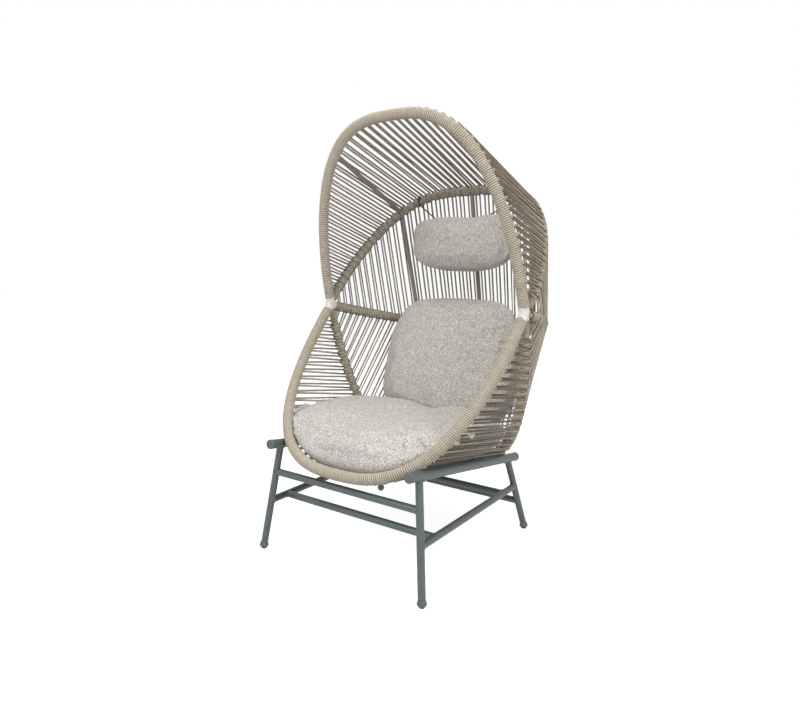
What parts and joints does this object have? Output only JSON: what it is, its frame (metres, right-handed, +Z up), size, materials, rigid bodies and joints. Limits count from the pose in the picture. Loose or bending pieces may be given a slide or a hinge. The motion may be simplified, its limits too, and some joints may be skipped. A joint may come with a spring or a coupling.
{
  "type": "lounge chair",
  "caption": "Hooded pod lounge chair: a rope-strung shell of bent hoops on a tubular stand, with loose seat and back cushions and a hung head cushion.",
  "frame": {"origin": "on the floor, under the middle of the whole chair's bounding box", "axes": "+Z up, the open front faces -Y, +X to the right seen from the front; +X is square to the plane that mirrors the frame"},
  "size_m": [0.9406, 1.0262, 1.5517],
  "materials": {
    "stand": "satin",
    "pod_frame": "satin",
    "rope": "matte",
    "cushion": "matte",
    "cord": "matte",
    "glide": "matte",
    "bolt": "satin"
  },
  "bodies": {
    "chair": {"back_cushion": "cushion", "back_hoop_tube": "pod_frame", "back_hoop_wrap": "rope", "back_rib_left": "pod_frame", "back_rib_middle": "pod_frame", "back_rib_right": "pod_frame", "back_strands_left": "rope", "back_strands_middle": "rope", "back_strands_right": "rope", "bolt_front_left": "bolt", "bolt_front_right": "bolt", "bolt_rear_left": "bolt", "bolt_rear_right": "bolt", "crown_arch_tube": "pod_frame", "crown_arch_wrap": "rope", "front_crossbar": "stand", "front_stretcher": "stand", "glide_front_left": "glide", "glide_front_right": "glide", "glide_rear_left": "glide", "glide_rear_right": "glide", "hood_rib_left": "pod_frame", "hood_rib_right": "pod_frame", "hood_strands_side_left": "rope", "hood_strands_side_right": "rope", "hood_strands_top_left": "rope", "hood_strands_top_right": "rope", "leg_front_left": "stand", "leg_front_right": "stand", "leg_rear_left": "stand", "leg_rear_right": "stand", "lower_back_strands_left": "rope", "lower_back_strands_middle": "rope", "lower_back_strands_right": "rope", "rail_cap_front_left": "stand", "rail_cap_front_right": "stand", "rail_cap_rear_left": "stand", "rail_cap_rear_right": "stand", "rail_left": "stand", "rail_right": "stand", "rear_crossbar": "stand", "rear_stretcher": "stand", "rim_lower_tube": "pod_frame", "rim_lower_wrap": "rope", "rim_upper_tube": "pod_frame", "rim_upper_wrap": "rope", "seat_cushion": "cushion", "seat_hoop_tube": "pod_frame", "seat_hoop_wrap": "rope", "seat_strands_left": "rope", "seat_strands_middle": "rope", "seat_strands_right": "rope", "side_stretcher_left": "stand", "side_stretcher_right": "stand", "waist_hub_left": "pod_frame", "waist_hub_right": "pod_frame"},
    "head_rest": {"head_cushion": "cushion", "head_cushion_tie_left": "cord", "head_cushion_tie_right": "cord"}
  },
  "joints": [
    {"name": "head_cushion_swing", "type": "hinge", "parent": "chair", "child": "head_rest", "pos_m": [0, 0.36065, 1.29603], "axis": [-1, 0, 0], "range_deg": [0, 70]}
  ]
}
